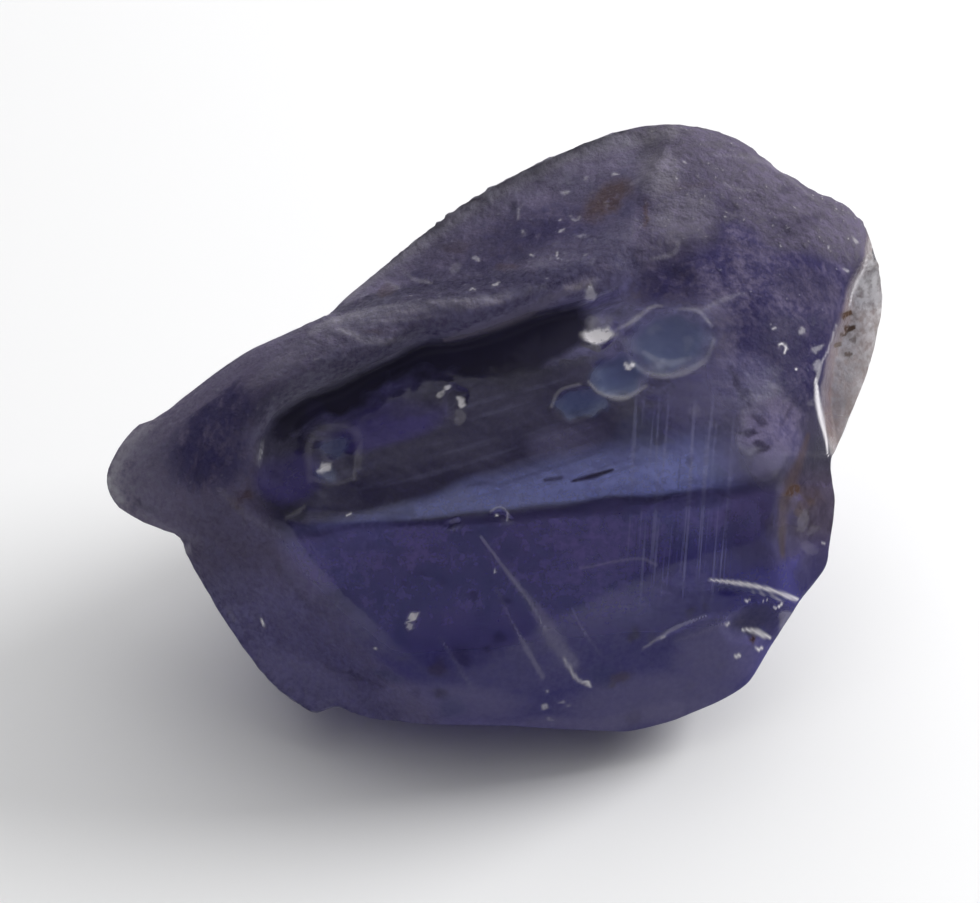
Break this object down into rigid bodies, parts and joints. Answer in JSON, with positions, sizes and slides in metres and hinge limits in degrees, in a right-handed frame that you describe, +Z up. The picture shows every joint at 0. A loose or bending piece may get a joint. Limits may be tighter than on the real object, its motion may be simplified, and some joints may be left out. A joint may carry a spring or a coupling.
{
  "type": "rough spinel crystal",
  "caption": "Broken, waterworn piece of deep blue-violet gem rough: a rounded nose and ridge over a glassy conchoidal fracture face, standing on a small flat face.",
  "frame": {"origin": "on the supporting surface, under the centre of the crystal's box", "axes": "+Z up; the broken glassy face looks toward -Y and up; the rounded nose points to -X"},
  "size_m": [0.0098, 0.0068, 0.0053],
  "materials": {
    "spinel": "deep blue-violet, see-through at thin edges; glassy on the fresh fracture faces, satin and frosted on the waterworn skin"
  },
  "bodies": {
    "root": {"rough_spinel": "spinel"}
  },
  "joints": []
}
